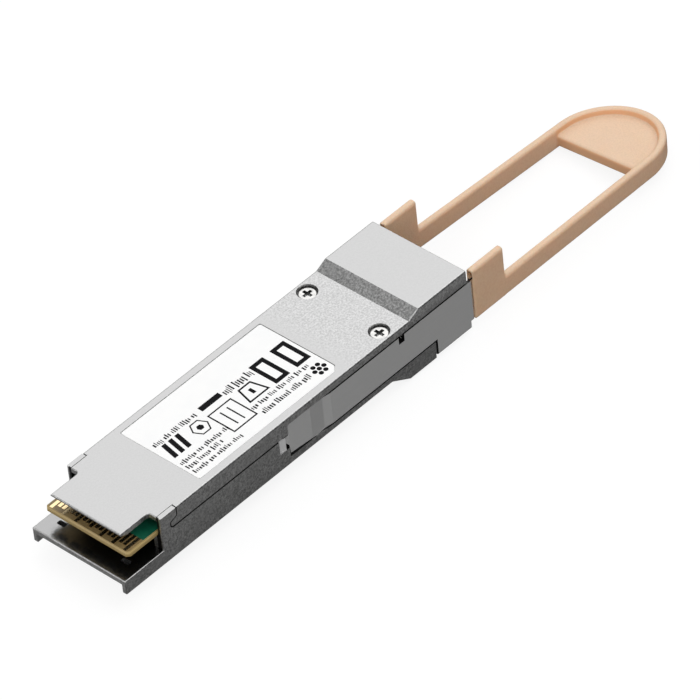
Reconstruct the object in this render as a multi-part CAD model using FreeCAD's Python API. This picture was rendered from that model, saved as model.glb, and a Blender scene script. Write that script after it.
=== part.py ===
import FreeCAD, Part
import math
import os
from FreeCAD import Vector

# Pluggable optical transceiver. Millimetres.
# Every piece is drawn in the module's datum frame: X runs back from the front edge of the bottom plate,
# Y = 0 is the middle plane, Z = 0 is the flat underside and the label side is up.
# place() then moves it to the row frame, whose origin is the bottom centre of the whole object's box.

# ---- overall sizes
BODY_LENGTH = 72.4
BODY_WIDTH = 18.35
BODY_HEIGHT = 8.5
OVERALL_LENGTH = 122.2
NOSE_RISE = 1.0
CHIN_DROP = 2.04
HALF = BODY_WIDTH / 2
NOSE_TOP = BODY_HEIGHT + NOSE_RISE
REAR = BODY_LENGTH

# ---- shells
SEAM_Z = 5.42
SEAM_GAP = 0.2
PLATE_TOP = 2.49
PLATE_UNDERCUT = 1.65
UNDERCUT_LENGTH = 12.0
LEG = 0.75
WALL_FRONT = 8.0
SHOULDER_INSIDE = 8.4
SHOULDER_REAR = 11.12
SHOULDER_FOOT = 9.73
SHOULDER_CHIN_Z = 7.1
SHOULDER_THROAT_Z = 6.65
SHOULDER_BEND = 0.4
SHOULDER_ROOT = 0.62
SKIRT_FRONT = 12.0
ROOF = 1.0
GASKET_FRONT = 15.0
GASKET_REAR = 54.4
TONGUE_FRONT = 2.35
TONGUE_HALF = 6.85
TONGUE_THICK = 0.8
TONGUE_FILLET = 0.5
LIP_THICK = 0.3
LIP_TAPER = 1.2
RAMP_FOOT = 60.0
RAMP_HEAD = 62.1
CHIN_START = 55.5
CHIN_FLAT = 59.2
CHIN_END = 64.9
STRAP_ROOF = -1.2
FLOOR_TOP = 1.0
EDGE = 0.2
SOFT_EDGE = 0.3
SLOT_DEPTH = 0.6

# ---- label and cover screws
LABEL_FRONT = 17.45
LABEL_REAR = 46.7
LABEL_HALF = 7.85
LABEL_RECESS = 0.18
LABEL_THICK = 0.12
LABEL_GAP = 0.1
LABEL_CORNER = 0.3
LABEL_BEVEL = 0.95
SCREW_X = 55.9
SCREW_Y = 7.05
HEAD_R = 1.45
HEAD_HEIGHT = 0.62
SHANK_R = 0.7
COUNTERBORE_R = 1.65
HEAD_SEAT = 7.5
CROSS_LONG = 0.85
CROSS_WIDE = 0.27
CROSS_DEEP = 0.45

# ---- paddle card
BOARD_FRONT = 2.05
BOARD_REAR = 44.0
BOARD_STEP = 13.9
BOARD_HALF = 8.21
BOARD_NARROW = 7.35
BOARD_BOTTOM = 4.75
BOARD_TOP = 5.75
BOARD_BEVEL = 0.28
BOARD_CORNER = 0.5
PAD_COUNT = 19
PAD_PITCH = 0.8
PAD_WIDTH = 0.56
PAD_THICK = 0.04
PAD_END = 5.45
GROUND_PAD_START = 2.35
MIDDLE_PAD_START = 2.83
SIGNAL_PAD_START = 3.17

# ---- release slider and its springs
SHEET = 0.5
RECESS_DEPTH = 0.6
RECESS_FRONT = 34.05
RECESS_NOSE = 33.4
RECESS_DEEP_END = 45.3
RECESS_DEEP = 8.25
RECESS_BOTTOM = 1.0
RECESS_TIP_BOTTOM = 1.3
RECESS_TOP = 7.3
ARM_TOP = 7.0
ARM_BOTTOM = 1.28
TIP_TOP = 7.27
STRAP_FRONT = 65.3
STRAP_REAR = 72.5
STRAP_BOTTOM = -1.8
STRAP_TOP = -1.3
NOTCH_FRONT = 57.55
NOTCH_REAR = 58.75
NOTCH_FLOOR = 5.75
TRAVEL = 2.0
POCKET_FRONT = 32.05
POCKET_DEPTH = 0.32
POCKET_BOTTOM = 3.0
SPRING_Y = 7.95
SPRING_Z = 5.5
SPRING_R = 0.47
WIRE_R = 0.07
SPRING_END = 65.6
SPRING_COILS = 9
CHANNEL_R = 0.6

# ---- pull tab
TAB_FRONT = 73.6
TAB_HALF = 9.15
BAR_INSIDE = 7.87
EAR_REAR = 80.35
EAR_TOP = 8.4
BAR_BOTTOM = -0.75
BAR_TOP = 2.8
BAR_ROUND = 0.5
BAR_FOOT_ROUND = 0.25
LOOP_X = OVERALL_LENGTH - TAB_HALF
WEB_FRONT = 110.85
WEB_BOTTOM = -0.2
WEB_TOP = 1.7
WEB_ROUND = 0.55
JOG_FRONT = 73.1
JOG_REAR = 73.75
TONGUE_END = 78.5
TONGUE_OUTSIDE = 8.72

# ---- optical train
AXIS_Z = 4.0
FERRULE_BACK = 56.0
FERRULE_FACE = 64.0
FERRULE_HALF = 3.2
FERRULE_HALF_Z = 1.25
PIN_R = 0.349
PIN_Y = 2.3
PIN_TIP = 66.1
PIN_TAPER = 0.4
PIN_GROOVE_FRONT = 63.2
PIN_GROOVE_REAR = 63.9
PIN_GROOVE_R = 0.23
CAVITY_FRONT = 59.6
PORT_FRONT = 60.4
PORT_REAR = 72.2
PORT_STEP = 62.5
PORT_HALF = 6.95
PORT_BOTTOM = -0.4
PORT_TOP = 8.35
PORT_LOW_TOP = 7.5
PORT_BORE_HALF = 6.25
PORT_BORE_HALF_Z = 3.9
PORT_WALL_REAR = 61.8
PEDESTAL_TOP = 3.5


# ---- building blocks

def box(x0, x1, y0, y1, z0, z1):
    return Part.makeBox(x1 - x0, y1 - y0, z1 - z0, Vector(x0, y0, z0))


def slab(x0, x1, half_y, z0, z1):
    """A box centred on the middle plane."""
    return box(x0, x1, -half_y, half_y, z0, z1)


def frame_slab(x0, x1, half_y, z0, z1, hole_half_y, hole_z0, hole_z1):
    """A plate across the module with a rectangular window."""
    return slab(x0, x1, half_y, z0, z1).cut(slab(x0 - 1, x1 + 1, hole_half_y, hole_z0, hole_z1))


def mirrored(shape):
    return shape.mirror(Vector(0, 0, 0), Vector(0, 1, 0))


def both_sides(shape):
    return shape.fuse(mirrored(shape))


def side_prism(outline, y0, y1):
    """An outline of (x, z) points, pushed along Y."""
    points = [Vector(x, y0, z) for x, z in outline]
    wire = Part.makePolygon(points + points[:1])
    return Part.Face(wire).extrude(Vector(0, y1 - y0, 0))


def plan_prism(outline, z0, z1):
    """An outline of (x, y) points, pushed along Z."""
    points = [Vector(x, y, z0) for x, y in outline]
    wire = Part.makePolygon(points + points[:1])
    return Part.Face(wire).extrude(Vector(0, 0, z1 - z0))


def rod_x(x0, x1, y, z, radius):
    return Part.makeCylinder(radius, x1 - x0, Vector(x0, y, z), Vector(1, 0, 0))


def rod_z(x, y, z0, z1, radius):
    return Part.makeCylinder(radius, z1 - z0, Vector(x, y, z0))


def is_vertical(edge):
    """True for an edge along Z."""
    size = edge.BoundBox
    return size.XLength < 1e-4 and size.YLength < 1e-4


def round_edges(shape, radius, chosen):
    """Round the chosen edges, and leave out any that can't take the radius."""
    edges = [edge for edge in shape.Edges if chosen(edge)]
    try:
        return checked(shape.makeFillet(radius, edges))
    except Exception:
        return round_one_by_one(shape, radius, [edge.CenterOfMass for edge in edges])


def round_one_by_one(shape, radius, centres):
    for centre in centres:
        near = [edge for edge in shape.Edges if edge.CenterOfMass.distanceToPoint(centre) < 0.05]
        try:
            shape = checked(shape.makeFillet(radius, near))
        except Exception:
            print("left sharp:", centre)
    return shape


def checked(shape):
    if shape.isNull() or not shape.isValid() or shape.Volume <= 0:
        raise ValueError("bad solid")
    return shape


def place(shape):
    return shape.translated(Vector(-OVERALL_LENGTH / 2, 0, CHIN_DROP))


# ---- features that the two shells share

def slider_recess():
    """Room for the slider's arms on both flanks, deeper where the arms dip inwards."""
    flat = box(RECESS_DEEP_END - 1, REAR + 1, HALF - RECESS_DEPTH, HALF + 1, RECESS_BOTTOM, RECESS_TOP)
    tip_outline = (
        (RECESS_FRONT, RECESS_TIP_BOTTOM), (39, RECESS_TIP_BOTTOM), (43, RECESS_BOTTOM),
        (RECESS_DEEP_END, RECESS_BOTTOM), (RECESS_DEEP_END, RECESS_TOP), (RECESS_FRONT, RECESS_TOP),
        (RECESS_FRONT, SEAM_Z), (RECESS_NOSE, SEAM_Z),
        (RECESS_NOSE, POCKET_BOTTOM), (RECESS_FRONT, POCKET_BOTTOM),
    )
    deep = side_prism(tip_outline, RECESS_DEEP, HALF + 1)
    low = box(CHIN_END, REAR + 1, HALF - RECESS_DEPTH, HALF + 1, -CHIN_DROP - 1, ARM_TOP)
    return both_sides(flat.fuse([deep, low]))


def spring_channel():
    """A round channel for each return spring, and the slot that lets the slider's lug in."""
    front = NOTCH_FRONT - 0.1
    channel = rod_x(front, SPRING_END, SPRING_Y, SPRING_Z, CHANNEL_R)
    rear = NOTCH_REAR + TRAVEL + 0.1
    slot = box(front, rear, SPRING_Y - CHANNEL_R, HALF, NOTCH_FLOOR - SHEET - 0.1, ARM_TOP)
    return both_sides(channel.fuse(slot))


def shoulder():
    """The flank's front block, whose S-shaped rear edge meets the lid's skirt."""
    base = SEAM_Z - 0.5
    outline = (
        (WALL_FRONT, BODY_HEIGHT), (SHOULDER_REAR, BODY_HEIGHT), (SHOULDER_REAR, SHOULDER_CHIN_Z),
        (SHOULDER_FOOT, SHOULDER_THROAT_Z), (SHOULDER_FOOT, SEAM_Z), (SKIRT_FRONT, SEAM_Z),
        (SKIRT_FRONT, base), (WALL_FRONT, base),
    )
    block = side_prism(outline, SHOULDER_INSIDE, HALF)
    for x, z, radius in (
        (SHOULDER_REAR, SHOULDER_CHIN_Z, SHOULDER_BEND),
        (SHOULDER_FOOT, SHOULDER_THROAT_Z, SHOULDER_BEND),
        (SHOULDER_FOOT, SEAM_Z, SHOULDER_ROOT),
    ):
        corner = Vector(x, (SHOULDER_INSIDE + HALF) / 2, z)
        block = round_edges(block, radius, lambda edge: edge.CenterOfMass.distanceToPoint(corner) < 0.01)
    return block


def lid_skirt():
    """The lid's own side of that edge, a seam's width away."""
    skirt = box(SHOULDER_FOOT - 1, SKIRT_FRONT, SHOULDER_INSIDE, HALF, SEAM_Z + SEAM_GAP, BODY_HEIGHT)
    block = shoulder()
    slant = SEAM_GAP * math.sqrt(0.5)
    steps = (Vector(SEAM_GAP, 0, 0), Vector(slant, 0, slant), Vector(slant, 0, -slant))
    return skirt.cut([block.translated(step) for step in steps] + [box(0, WALL_FRONT + 1, 8, 10, 0, 10)])


# ---- shells

def bottom_housing():
    profile = (
        (0, 0), (CHIN_START, 0), (CHIN_FLAT, -CHIN_DROP), (CHIN_END, -CHIN_DROP), (CHIN_END, STRAP_ROOF),
        (REAR, STRAP_ROOF), (REAR, SEAM_Z), (WALL_FRONT, SEAM_Z), (WALL_FRONT, PLATE_TOP), (0, PLATE_TOP),
    )
    tray = side_prism(profile, -HALF, HALF)
    block = shoulder()
    tray = tray.fuse([block, mirrored(block)]).removeSplitter()
    tray = round_edges(tray, EDGE, housing_outer_edge)
    corner = side_prism(((CHIN_END, 0), (CHIN_END, 1), (REAR + 1, 1), (REAR + 1, 0)), 0, 1)
    corner.rotate(Vector(0, 0, 0), Vector(1, 0, 0), 45)
    corner.translate(Vector(0, HALF - RECESS_DEPTH, STRAP_ROOF - 0.5))
    tray = tray.cut([housing_hollow(), slider_recess(), spring_channel(), both_sides(corner)])
    tray = tray.cut([plate_slots(), latch_ramp(), gasket_groove(), screw_holes(SHANK_R + 0.02, 1.8)])
    tray = tray.cut(slab(-1, UNDERCUT_LENGTH, HALF - LEG, -1, PLATE_UNDERCUT))
    pedestals = [slab(18, 24, 5, 0.9, PEDESTAL_TOP), slab(33, 41, 4.5, 0.9, PEDESTAL_TOP)]
    return tray.fuse(pedestals).removeSplitter()


def housing_outer_edge(edge):
    """The long edges of the flanks and the front edges of plate and walls."""
    middle = edge.CenterOfMass
    size = edge.BoundBox
    if abs(abs(middle.y) - HALF) < 0.01 and size.YLength < 0.01:
        return middle.z < SEAM_Z - 0.05 or (is_vertical(edge) and middle.x < WALL_FRONT + 0.01)
    return size.YLength > 2 * HALF - 1 and middle.x < 0.01


def housing_hollow():
    """The tray's inside: card seat, floor, rear well, ferrule window and port seat."""
    above = SEAM_Z + 5
    return Part.makeCompound([
        slab(WALL_FRONT - 1, BOARD_STEP + 0.15, BOARD_HALF + 0.09, BOARD_BOTTOM, above),
        slab(WALL_FRONT - 1, BOARD_STEP + 0.15, 7.3, PLATE_TOP, BOARD_BOTTOM),
        slab(BOARD_STEP + 0.15, BOARD_REAR + 0.2, BOARD_NARROW + 0.1, BOARD_BOTTOM, above),
        slab(BOARD_STEP + 0.15, BOARD_REAR + 0.2, 6.8, FLOOR_TOP, BOARD_BOTTOM),
        slab(BOARD_REAR + 0.2, 58.2, 5.5, FLOOR_TOP, above),
        slab(58.2, CAVITY_FRONT, FERRULE_HALF + 0.1, AXIS_Z - FERRULE_HALF_Z - 0.1, above),
        slab(CAVITY_FRONT, REAR + 1, PORT_HALF + 0.1, PORT_BOTTOM, above),
    ])


def plate_slots():
    """Two rounded blind slots in the front plate."""
    slot = box(2.75, 3.6, 5.5, 7.05, PLATE_TOP - SLOT_DEPTH, PLATE_TOP + 1)
    return both_sides(round_edges(slot, 0.25, is_vertical))


def latch_ramp():
    """Small pocket ahead of each slider tip, deepest at its front, where a cage's latch leaf rests."""
    floor_line = ((POCKET_FRONT, HALF - POCKET_DEPTH), (RECESS_NOSE, HALF), (RECESS_NOSE, HALF + 1))
    return both_sides(plan_prism(floor_line + ((POCKET_FRONT, HALF + 1),), POCKET_BOTTOM, SEAM_Z))


def gasket_groove():
    return both_sides(box(GASKET_FRONT, GASKET_REAR, 7.67, 8.03, SEAM_Z - 0.3, SEAM_Z + 1))


def screw_holes(radius, bottom):
    return both_sides(rod_z(SCREW_X, SCREW_Y, bottom, BODY_HEIGHT + 1, radius))


def top_cover():
    profile = (
        (SKIRT_FRONT, SEAM_Z + SEAM_GAP), (REAR, SEAM_Z + SEAM_GAP), (REAR, NOSE_TOP), (RAMP_HEAD, NOSE_TOP),
        (RAMP_FOOT, BODY_HEIGHT), (SKIRT_FRONT, BODY_HEIGHT),
    )
    lid = side_prism(profile, -HALF, HALF)
    skirt = lid_skirt()
    front = slab(TONGUE_FRONT, SKIRT_FRONT, TONGUE_HALF, BODY_HEIGHT - TONGUE_THICK, BODY_HEIGHT)
    wide = slab(WALL_FRONT, SKIRT_FRONT, SHOULDER_INSIDE - 0.1, BODY_HEIGHT - TONGUE_THICK, BODY_HEIGHT)
    over_skirt = box(11.4, SKIRT_FRONT, 8, SHOULDER_INSIDE, BODY_HEIGHT - TONGUE_THICK, BODY_HEIGHT)
    lid = lid.fuse([skirt, mirrored(skirt), front, wide, over_skirt, mirrored(over_skirt)]).removeSplitter()
    lid = round_edges(lid, TONGUE_FILLET, tongue_root_edge)
    lid = round_edges(lid, SOFT_EDGE, cover_flank_edge)
    lid = round_edges(lid, EDGE, cover_end_edge)
    lid = lid.cut([cover_hollow(), slider_recess(), spring_channel(), under_lip()])
    lid = lid.cut(label_shape(LABEL_RECESS + 1, 0, LABEL_RECESS))
    lid = lid.cut([screw_holes(SHANK_R + 0.1, 0), screw_holes(COUNTERBORE_R, HEAD_SEAT)])
    pedestal = slab(17.5, 24, 6.3, 7.2, BODY_HEIGHT - ROOF + 0.1)
    return lid.fuse(pedestal).removeSplitter()


def under_lip():
    """What is taken off below the tongue, to thin it towards its front edge."""
    below = BODY_HEIGHT - TONGUE_THICK
    rear = TONGUE_FRONT + LIP_TAPER
    outline = (
        (TONGUE_FRONT - 1, below - 1), (rear, below - 1), (rear, below),
        (TONGUE_FRONT, BODY_HEIGHT - LIP_THICK), (TONGUE_FRONT - 1, BODY_HEIGHT - LIP_THICK),
    )
    return side_prism(outline, -HALF, HALF)


def tongue_root_edge(edge):
    middle = edge.CenterOfMass
    return is_vertical(edge) and abs(middle.x - WALL_FRONT) < 0.01 and abs(abs(middle.y) - TONGUE_HALF) < 0.01


def cover_flank_edge(edge):
    """The lid's long upper edges on the flanks, up the ramp and over the nose."""
    middle = edge.CenterOfMass
    size = edge.BoundBox
    return abs(abs(middle.y) - HALF) < 0.01 and size.YLength < 0.01 and size.XLength > 1 and middle.z > 7


def cover_end_edge(edge):
    """The rear rim of the nose, and the outline of the tongue."""
    middle = edge.CenterOfMass
    rear_rim = abs(middle.x - REAR) < 0.01 and middle.z > BODY_HEIGHT
    return rear_rim or (middle.x < WALL_FRONT and middle.z > BODY_HEIGHT - 0.01)


def cover_hollow():
    """The lid's inside: over the card, the rear well and the port."""
    below = SEAM_Z - 1
    ceiling = BODY_HEIGHT - ROOF
    return Part.makeCompound([
        slab(SKIRT_FRONT - 1, BOARD_STEP + 0.15, SHOULDER_INSIDE - 0.1, below, ceiling),
        slab(BOARD_STEP + 0.15, BOARD_REAR + 0.2, 7.6, below, ceiling),
        slab(BOARD_REAR + 0.2, 58.2, 5.5, below, ceiling),
        slab(CAVITY_FRONT, PORT_STEP, PORT_HALF + 0.1, below, PORT_LOW_TOP + 0.05),
        slab(PORT_STEP, REAR + 1, PORT_HALF + 0.1, below, PORT_TOP + 0.05),
    ])


def label_shape(thickness, inset, depth):
    """The label's outline as a sheet below the lid's top face, with one rear corner cut off."""
    front, rear, half = LABEL_FRONT + inset, LABEL_REAR - inset, LABEL_HALF - inset
    outline = (
        (front, -half), (rear - LABEL_BEVEL, -half), (rear, LABEL_BEVEL - half), (rear, half), (front, half),
    )
    sheet = plan_prism(outline, BODY_HEIGHT - depth, BODY_HEIGHT - depth + thickness)
    return round_edges(sheet, LABEL_CORNER, is_vertical)


def product_label():
    return label_shape(LABEL_THICK, LABEL_GAP, LABEL_RECESS)


def cover_screw(y):
    """A pan head with a cross recess on a plain shank."""
    top = HEAD_SEAT + HEAD_HEIGHT
    head = rod_z(SCREW_X, y, HEAD_SEAT, top, HEAD_R)
    head = round_edges(head, 0.25, lambda edge: edge.CenterOfMass.z > top - 0.01)
    arms = [
        box(SCREW_X - long, SCREW_X + long, y - wide, y + wide, top - CROSS_DEEP, top + 1)
        for long, wide in ((CROSS_LONG, CROSS_WIDE), (CROSS_WIDE, CROSS_LONG))
    ]
    shank = rod_z(SCREW_X, y, 2.0, HEAD_SEAT, SHANK_R)
    return head.cut(arms).fuse(shank)


def cover_screws():
    return Part.makeCompound([cover_screw(SCREW_Y), cover_screw(-SCREW_Y)])


def seam_gasket():
    return box(GASKET_FRONT + 0.1, GASKET_REAR - 0.1, 7.69, 8.01, SEAM_Z - 0.3, SEAM_Z + SEAM_GAP)


# ---- release slider, springs and pull tab

def slider_arm():
    """One side arm: flared tip, inward dip, long flat run, and the set-in tongue that carries the tab."""
    outside = (
        (33.0, 8.75), (34.2, 9.04), (38.7, 9.15), (41.5, 8.95), (43.0, HALF), (JOG_FRONT, HALF),
        (JOG_REAR, TONGUE_OUTSIDE), (TONGUE_END + 1, TONGUE_OUTSIDE),
    )
    inside = [(x, y - SHEET) for x, y in reversed(outside)]
    plan = plan_prism(outside + tuple(inside), STRAP_BOTTOM, TIP_TOP)
    plan = round_edges(plan, 1.0, lambda edge: is_vertical(edge) and 38 < edge.CenterOfMass.x < 44)
    plan = round_edges(plan, 0.3, lambda edge: is_vertical(edge) and 72.5 < edge.CenterOfMass.x < 74.5)
    profile = (
        (34.2, TIP_TOP), (34.1, 5.3), (33.7, 5.15), (33.55, 4.9), (33.55, 4.0), (34.1, 3.45), (34.3, 1.8),
        (38.8, 1.5), (39.6, ARM_BOTTOM), (STRAP_FRONT, ARM_BOTTOM), (STRAP_FRONT, STRAP_BOTTOM),
        (STRAP_REAR, STRAP_BOTTOM), (STRAP_REAR, -0.3), (73.4, -0.3), (73.4, 0.4), (TONGUE_END, 0.4),
        (TONGUE_END, 6.5), (73.4, 6.5), (73.4, ARM_TOP), (NOTCH_REAR, ARM_TOP),
        (NOTCH_REAR, NOTCH_FLOOR), (NOTCH_FRONT, NOTCH_FLOOR),
        (NOTCH_FRONT, ARM_TOP), (41.0, ARM_TOP), (40.4, TIP_TOP),
    )
    arm = plan.common(side_prism(profile, 5, 10))
    anchor_hole = Part.makeCylinder(1.1, 4, Vector(76.2, 6, 3.6), Vector(0, 1, 0))
    lug = box(NOTCH_FRONT, NOTCH_REAR, SPRING_Y - 0.5, HALF - 0.1, NOTCH_FLOOR - SHEET, NOTCH_FLOOR)
    return arm.cut(anchor_hole).fuse(lug)


def release_slider():
    arm = slider_arm()
    strap = slab(STRAP_FRONT, STRAP_REAR, HALF, STRAP_BOTTOM, STRAP_TOP)
    window = slab(67.4, 70.4, 5.0, STRAP_BOTTOM - 1, 0)
    strap = strap.cut(round_edges(window, 0.6, is_vertical))
    slider = strap.fuse([arm, mirrored(arm)]).removeSplitter()
    return round_edges(slider, 0.45, strap_corner_edge)


def strap_corner_edge(edge):
    middle = edge.CenterOfMass
    size = edge.BoundBox
    outer = abs(middle.z - STRAP_BOTTOM) < 0.01 and abs(abs(middle.y) - HALF) < 0.02
    return outer and size.XLength > 5 and size.ZLength < 0.01


def return_spring():
    """A compression spring with closed ends, from the slider's lug back to the end of its channel."""
    start = NOTCH_REAR + WIRE_R
    length = SPRING_END - WIRE_R - start
    helix = Part.makeHelix(length / SPRING_COILS, length, SPRING_R)
    circle = Part.Wire(Part.Circle(Vector(SPRING_R, 0, 0), Vector(0, 1, 0), WIRE_R).toShape())
    coil = Part.Wire(helix).makePipeShell([circle], True, True)
    rings = [Part.makeTorus(SPRING_R, WIRE_R, Vector(0, 0, z)) for z in (0, length)]
    coil = coil.fuse(rings)
    coil.rotate(Vector(0, 0, 0), Vector(0, 1, 0), 90)
    coil.translate(Vector(start, SPRING_Y, SPRING_Z))
    return coil


def round_ended(front, half, z0, z1):
    """A slab with a half-round rear end, centred on the loop's axis."""
    end = rod_z(LOOP_X, 0, z0, z1, half).common(slab(LOOP_X, LOOP_X + half, half, z0, z1))
    return slab(front, LOOP_X, half, z0, z1).fuse(end).removeSplitter()


def tab_loop():
    """Both bars and the round end between them, in one section with rounded edges."""
    loop = round_ended(TAB_FRONT, TAB_HALF, BAR_BOTTOM, BAR_TOP)
    loop = loop.cut(round_ended(TAB_FRONT - 1, BAR_INSIDE, BAR_BOTTOM - 1, BAR_TOP + 1))
    loop = round_edges(loop, BAR_ROUND, lambda edge: long_bar_edge(edge) and edge.CenterOfMass.z > 0)
    return round_edges(loop, BAR_FOOT_ROUND, lambda edge: long_bar_edge(edge) and edge.CenterOfMass.z < 0)


def long_bar_edge(edge):
    return edge.BoundBox.ZLength < 0.01 and edge.BoundBox.XLength > 5


def web_front_edge(edge):
    return edge.CenterOfMass.x < WEB_FRONT + 0.01 and edge.CenterOfMass.z > WEB_TOP - 0.01


def tab_ear():
    """An upright ear over the slider's tongue, with a sloped rear foot and an arched pocket in front."""
    ear = box(TAB_FRONT, EAR_REAR, BAR_INSIDE, TAB_HALF, BAR_BOTTOM, EAR_TOP)
    ear = round_edges(ear, BAR_ROUND, lambda edge: edge.BoundBox.XLength > 5 and edge.CenterOfMass.z > 5)
    middle = (BAR_INSIDE + TAB_HALF) / 2
    foot_end = EAR_REAR + 0.6
    slope = (
        (EAR_REAR, BAR_TOP - 1), (EAR_REAR, BAR_TOP + 0.5),
        (foot_end, BAR_TOP - 0.1), (foot_end, BAR_TOP - 1),
    )
    gusset = side_prism(slope, middle - 0.35, middle + 0.35)
    arch = box(TAB_FRONT - 1, TAB_FRONT + 1.5, BAR_INSIDE + 0.17, TAB_HALF - 0.17, 6.6, EAR_TOP - 0.35)
    arch = round_edges(arch, 0.35, lambda edge: edge.BoundBox.XLength > 2 and edge.CenterOfMass.z > 7)
    return ear.fuse(gusset).cut(arch)


def pull_tab():
    web = round_ended(WEB_FRONT, BAR_INSIDE + 0.5, WEB_BOTTOM, WEB_TOP)
    web = round_edges(web, WEB_ROUND, web_front_edge)
    ear = tab_ear()
    body = tab_loop().fuse([web, ear, mirrored(ear)]).removeSplitter()
    return body.cut(release_slider())


# ---- paddle card and what is on it

def main_board():
    plan = (
        (BOARD_FRONT + BOARD_CORNER, -BOARD_HALF), (BOARD_STEP, -BOARD_HALF), (BOARD_STEP, -BOARD_NARROW),
        (BOARD_REAR, -BOARD_NARROW), (BOARD_REAR, BOARD_NARROW), (BOARD_STEP, BOARD_NARROW),
        (BOARD_STEP, BOARD_HALF), (BOARD_FRONT + BOARD_CORNER, BOARD_HALF),
        (BOARD_FRONT, BOARD_HALF - BOARD_CORNER), (BOARD_FRONT, BOARD_CORNER - BOARD_HALF),
    )
    card = plan_prism(plan, BOARD_BOTTOM, BOARD_TOP)
    front = [edge for edge in card.Edges if not is_vertical(edge) and edge.CenterOfMass.x < BOARD_STEP - 0.1]
    return card.makeChamfer(BOARD_BEVEL, front)


def edge_contacts(z0):
    """One side's row of gold pads: every third one is a ground pad, and reaches further forward."""
    pads = []
    for index in range(PAD_COUNT):
        start = GROUND_PAD_START if index % 3 == 0 else SIGNAL_PAD_START
        if index == PAD_COUNT // 2:
            start = MIDDLE_PAD_START
        y = (index - (PAD_COUNT - 1) / 2) * PAD_PITCH
        pads.append(box(start, PAD_END, y - PAD_WIDTH / 2, y + PAD_WIDTH / 2, z0, z0 + PAD_THICK))
    return Part.makeCompound(pads)


def chip(x, y, length, width, height, upper=True):
    """A moulded package on either face of the card, with its upper edges eased."""
    z0 = BOARD_TOP if upper else BOARD_BOTTOM - height
    body = box(x - length / 2, x + length / 2, y - width / 2, y + width / 2, z0, z0 + height)
    outer = z0 + height if upper else z0
    return round_edges(body, 0.08, lambda edge: abs(edge.CenterOfMass.z - outer) < 0.01)


def small_parts(places, length, width, height, upper):
    """Several alike chip resistors or capacitors, as separate solids."""
    return Part.makeCompound([chip(x, y, length, width, height, upper) for x, y in places])


def decoupling_capacitors():
    beside_chips = [(x, y) for x in (14.8, 16.2) for y in (-5.4, -3.2, 3.2, 5.4)]
    behind_chips = [(x, y) for x in (25.2, 26.6) for y in (-5.4, -1.8, 1.8, 5.4)]
    return small_parts(beside_chips + behind_chips, 1.0, 0.5, 0.5, True)


def board_resistors():
    places = [(x, y) for x in (9.8, 11.2, 12.6) for y in (-6.0, -3.6, -1.2, 1.2, 3.6, 6.0)]
    return small_parts(places, 0.6, 0.3, 0.3, True)


def power_inductors():
    return small_parts([(28.6, -4.2), (28.6, 4.2)], 2.5, 2.0, 1.2, False)


def engine_carrier():
    return slab(33, 41, 4.0, BOARD_TOP, BOARD_TOP + 0.25)


def die(x0, x1, y0, y1, thickness):
    z0 = BOARD_TOP + 0.25
    return box(x0, x1, y0, y1, z0, z0 + thickness)


def lens_block():
    """Clear moulded block over the dies: hollow underneath, with a turning mirror cut in its top."""
    z0 = BOARD_TOP + 0.25
    block = slab(36.2, 40.8, 3.4, z0, 7.4)
    block = round_edges(block, 0.15, lambda edge: edge.CenterOfMass.z > 7.39)
    dies_room = slab(36.5, 37.6, 3.0, z0 - 1, z0 + 0.45)
    mirror = side_prism(((36.6, 7.5), (37.5, 6.6), (38.4, 7.5)), -2.6, 2.6)
    return block.cut([dies_room, mirror])


def fibre_ribbon():
    """Flat ribbon: straight out of the lens block, one S-bend down, and straight into the ferrule."""
    start, bend, finish, back = 40.8, 42.6, 52.6, FERRULE_BACK
    high, low, half_width, half_thick = 6.75, AXIS_Z, 1.55, 0.15
    drop = high - low
    length = finish - bend
    radius = (length ** 2 + drop ** 2) / (4 * drop)
    angle = math.asin(length / (2 * radius))
    dip = radius * (1 - math.cos(angle / 2))
    reach = radius * math.sin(angle / 2)
    first = Part.Arc(
        Vector(bend, 0, high), Vector(bend + reach, 0, high - dip),
        Vector(bend + length / 2, 0, high - drop / 2),
    ).toShape()
    second = Part.Arc(
        Vector(bend + length / 2, 0, high - drop / 2), Vector(finish - reach, 0, low + dip),
        Vector(finish, 0, low),
    ).toShape()
    lead_in = Part.makeLine(Vector(start, 0, high), Vector(bend, 0, high))
    lead_out = Part.makeLine(Vector(finish, 0, low), Vector(back, 0, low))
    route = Part.Wire([lead_in, first, second, lead_out])
    corners = [Vector(start, y, high + z) for y, z in ((-1, -1), (1, -1), (1, 1), (-1, 1))]
    corners = [Vector(p.x, p.y * half_width, high + (p.z - high) * half_thick) for p in corners]
    return route.makePipeShell([Part.makePolygon(corners + corners[:1])], True, True)


# ---- ferrule, port and nose parts

def mt_ferrule():
    shank = slab(FERRULE_BACK, FERRULE_FACE, FERRULE_HALF, AXIS_Z - FERRULE_HALF_Z, AXIS_Z + FERRULE_HALF_Z)
    shank = round_edges(shank, 0.25, lambda edge: edge.BoundBox.XLength > 5)
    flange = slab(FERRULE_BACK, FERRULE_BACK + 2, 3.6, AXIS_Z - 1.5, AXIS_Z + 1.5)
    bores = [rod_x(FERRULE_BACK - 1, FERRULE_FACE + 1, y, AXIS_Z, PIN_R + 0.02) for y in (-PIN_Y, PIN_Y)]
    return shank.fuse(flange).removeSplitter().cut(bores)


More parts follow.
